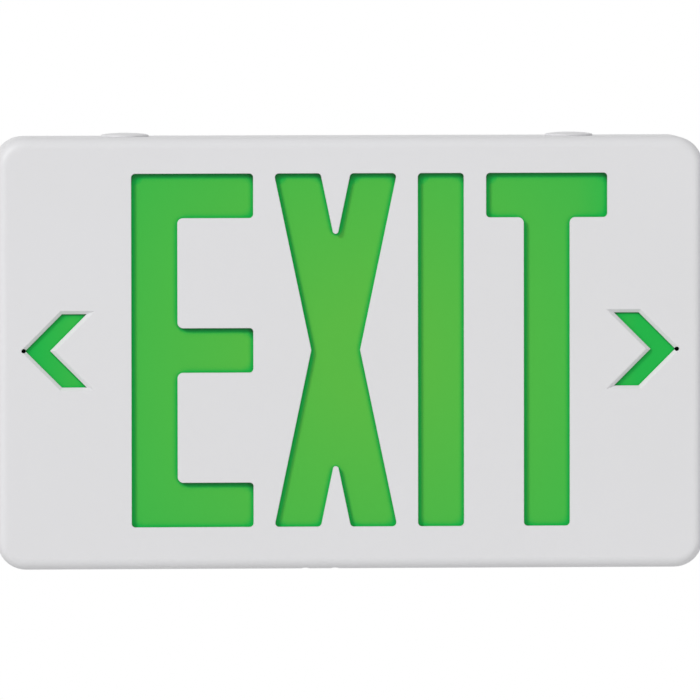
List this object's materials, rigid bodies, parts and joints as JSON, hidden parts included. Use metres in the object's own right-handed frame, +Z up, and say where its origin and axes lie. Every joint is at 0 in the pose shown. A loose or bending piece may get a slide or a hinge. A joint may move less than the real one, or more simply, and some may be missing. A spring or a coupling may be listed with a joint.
{
  "type": "exit light",
  "caption": "Wall-mounted emergency exit light: white moulded housing, clip-fitted stencil faceplate with arrow openings over a green panel, battery and charger inside.",
  "frame": {"origin": "middle of the rear face, on the axis of the wire entry, in the plane of the wall", "axes": "+Z up, +X to the right as the legend is read, +Y into the wall"},
  "size_m": [0.305, 0.045, 0.1876],
  "materials": {
    "white_moulding": "satin white thermoplastic",
    "green_panel": "translucent green acrylic, unlit",
    "circuit_board": "green solder mask",
    "strip_board": "white solder mask",
    "lamp_chips": "moulded chips with a yellow lens",
    "screws": "zinc-plated steel",
    "core_steel": "varnished laminations",
    "coil_tape": "amber winding tape",
    "relay_case": "moulded case",
    "capacitor_sleeve": "shrunk sleeve",
    "diode_case": "moulded case",
    "terminal_plastic": "natural nylon",
    "battery_sleeve": "shrunk sleeve",
    "strap_steel": "bent strip, zinc-plated",
    "switch_case": "moulded case",
    "button_plastic": "red moulding",
    "pilot_lamp": "green epoxy",
    "pilot_pipe": "clear acrylic"
  },
  "bodies": {
    "housing": {"housing": "white_moulding", "back_plate": "white_moulding", "lamp_hole_plug_left": "white_moulding", "lamp_hole_plug_right": "white_moulding", "charger_board": "circuit_board", "switch_board": "circuit_board", "light_strip_top": "strip_board", "light_strip_left": "strip_board", "light_strip_right": "strip_board", "light_strip_top_lamps": "lamp_chips", "light_strip_left_lamps": "lamp_chips", "light_strip_right_lamps": "lamp_chips", "back_screws": "screws", "board_screws": "screws", "strap_screws": "screws", "switch_board_screws": "screws", "transformer_core": "core_steel", "transformer_coil": "coil_tape", "relay": "relay_case", "capacitors": "capacitor_sleeve", "diodes": "diode_case", "terminal_block": "terminal_plastic", "battery_socket": "terminal_plastic", "battery_pack": "battery_sleeve", "battery_strap": "strap_steel", "test_switch": "switch_case", "pilot_lamp": "pilot_lamp", "pilot_light_pipe": "pilot_pipe"},
    "faceplate": {"faceplate": "white_moulding", "green_panel": "green_panel"},
    "test_button": {"test_button": "button_plastic"}
  },
  "joints": [
    {"name": "faceplate_pull", "type": "slide", "parent": "housing", "child": "faceplate", "axis": [0, -1, 0], "range_m": [0, 0.06]},
    {"name": "test_button_press", "type": "slide", "parent": "housing", "child": "test_button", "axis": [0, 0, 1], "range_m": [0, 0.0012], "stiffness_N_per_m": 400, "springref_m": -0.0005}
  ]
}
